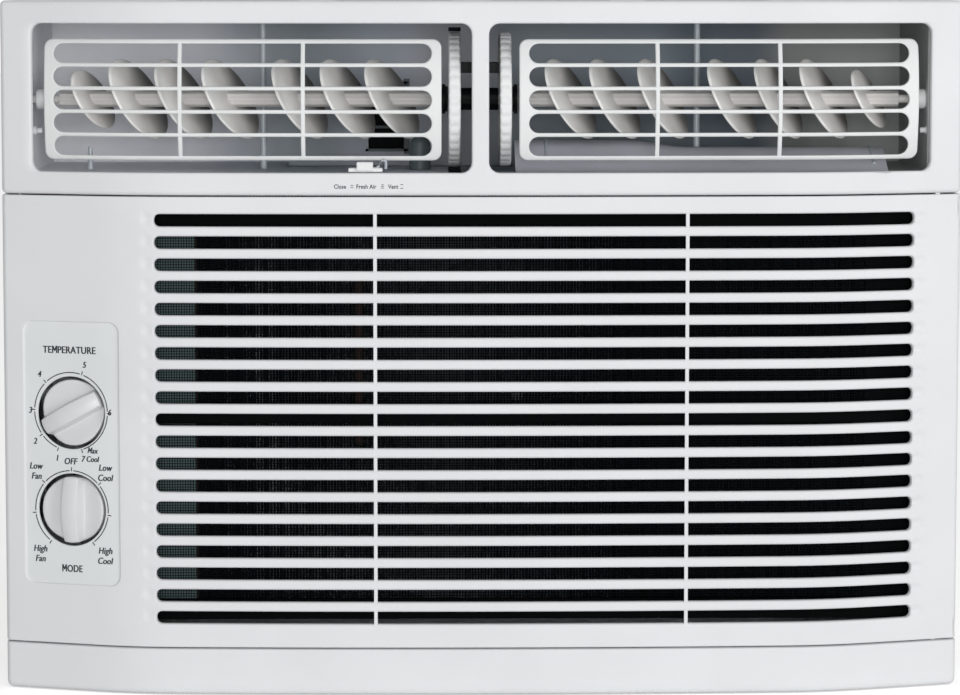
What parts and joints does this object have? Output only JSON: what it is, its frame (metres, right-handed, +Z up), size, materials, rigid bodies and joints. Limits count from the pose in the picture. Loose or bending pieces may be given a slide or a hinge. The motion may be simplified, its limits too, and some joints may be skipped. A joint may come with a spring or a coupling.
{
  "type": "window air conditioner",
  "caption": "Compact window air conditioner with slotted intake grille, twin louvered discharge openings with swirl vanes and thumbwheels, and rotary temperature and mode knobs.",
  "frame": {"origin": "middle of the footprint, on the surface that the unit stands on", "axes": "+X to the right as seen from the room, +Y from the room side to the outdoor side, +Z up"},
  "size_m": [0.47, 0.492, 0.34],
  "materials": {
    "white_plastic": "satin moulded",
    "knob_plastic": "smooth satin",
    "overlay": "printed matt film",
    "vane_plastic": "satin moulded",
    "black_plastic": "matt",
    "duct_foam": "matt",
    "fan_plastic": "matt",
    "cabinet_steel": "light powder coat",
    "galvanised": "galvanised",
    "copper": "drawn copper",
    "fin_aluminium": "thin pressed fins",
    "black_steel": "black enamel",
    "filter_net": "woven plastic net",
    "rubber": "moulded"
  },
  "bodies": {
    "housing": {"front_frame": "white_plastic", "intake_panel": "white_plastic", "bottom_trim": "white_plastic", "control_plate": "overlay", "thermostat": "galvanised", "selector_switch": "black_plastic", "control_box": "galvanised", "run_capacitor": "fin_aluminium", "discharge_duct": "duct_foam", "centre_bearing": "black_plastic", "evaporator_fins": "fin_aluminium", "evaporator_end_left": "copper", "evaporator_end_right": "copper", "condenser_fins": "fin_aluminium", "condenser_end_left": "copper", "condenser_end_right": "copper", "blower_scroll": "duct_foam", "fan_motor": "black_steel", "motor_bracket": "galvanised", "bulkhead": "galvanised", "fan_shroud": "galvanised", "fan_ring": "galvanised", "compressor": "black_steel", "compressor_base": "black_steel", "compressor_foot_1": "rubber", "compressor_foot_2": "rubber", "compressor_foot_3": "rubber", "accumulator": "black_steel", "suction_tube": "copper", "discharge_tube": "copper", "capillary_tube": "copper", "base_pan": "galvanised", "cabinet_wrap": "cabinet_steel", "cord_grommet": "rubber", "drain_plug": "rubber", "sensing_bulb": "copper"},
    "temp_dial": {"temp_knob": "knob_plastic", "thermostat_shaft": "galvanised"},
    "mode_dial": {"mode_knob": "knob_plastic", "selector_shaft": "galvanised"},
    "louver_left_body": {"louver_left": "white_plastic"},
    "louver_right_body": {"louver_right": "white_plastic"},
    "vanes_left": {"vane_shaft_left": "vane_plastic", "thumbwheel_left": "white_plastic", "friction_collar_left": "black_plastic"},
    "vanes_right": {"vane_shaft_right": "vane_plastic", "thumbwheel_right": "white_plastic", "friction_collar_right": "black_plastic"},
    "vent_slider": {"vent_lever": "white_plastic"},
    "vent_flap": {"vent_door": "black_plastic"},
    "fan_rotor": {"motor_shaft": "galvanised", "blower_wheel": "fan_plastic", "condenser_fan": "black_plastic"},
    "filter": {"filter_frame": "black_plastic", "filter_mesh": "filter_net"}
  },
  "joints": [
    {"name": "temp_turn", "type": "hinge", "parent": "housing", "child": "temp_dial", "pos_m": [-0.2015, -0.23086, 0.138], "axis": [-0.3173, -0.9483, 0], "range_deg": [-101.3, 221.3]},
    {"name": "mode_turn", "type": "hinge", "parent": "housing", "child": "mode_dial", "pos_m": [-0.2015, -0.23086, 0.09], "axis": [-0.3173, -0.9483, 0], "range_deg": [-145, 145]},
    {"name": "louver_left_tilt", "type": "hinge", "parent": "housing", "child": "louver_left_body", "pos_m": [-0.116, -0.21, 0.2915], "axis": [1, 0, 0], "range_deg": [-18, 12]},
    {"name": "louver_right_tilt", "type": "hinge", "parent": "housing", "child": "louver_right_body", "pos_m": [0.116, -0.21, 0.2915], "axis": [1, 0, 0], "range_deg": [-18, 12]},
    {"name": "vanes_left_turn", "type": "hinge", "parent": "housing", "child": "vanes_left", "pos_m": [-0.116, -0.21, 0.2915], "axis": [1, 0, 0], "continuous": true},
    {"name": "vanes_right_turn", "type": "hinge", "parent": "housing", "child": "vanes_right", "pos_m": [0.116, -0.21, 0.2915], "axis": [1, 0, 0], "continuous": true},
    {"name": "vent_lever_slide", "type": "slide", "parent": "housing", "child": "vent_slider", "axis": [1, 0, 0], "range_m": [-0.0125, 0.0125]},
    {"name": "vent_door_swing", "type": "hinge", "parent": "housing", "child": "vent_flap", "pos_m": [-0.058, -0.1028, 0.299], "axis": [1, 0, 0], "range_deg": [-15.01, 15.01]},
    {"name": "fan_spin", "type": "hinge", "parent": "housing", "child": "fan_rotor", "pos_m": [0.02, 0, 0.14], "axis": [0, 1, 0], "continuous": true},
    {"name": "filter_slide", "type": "slide", "parent": "housing", "child": "filter", "axis": [1, 0, 0], "range_m": [0, 0.4]}
  ],
  "couplings": [
    {"joint": "vent_door_swing", "follows": "vent_lever_slide", "rad_per_m": 20.944}
  ]
}
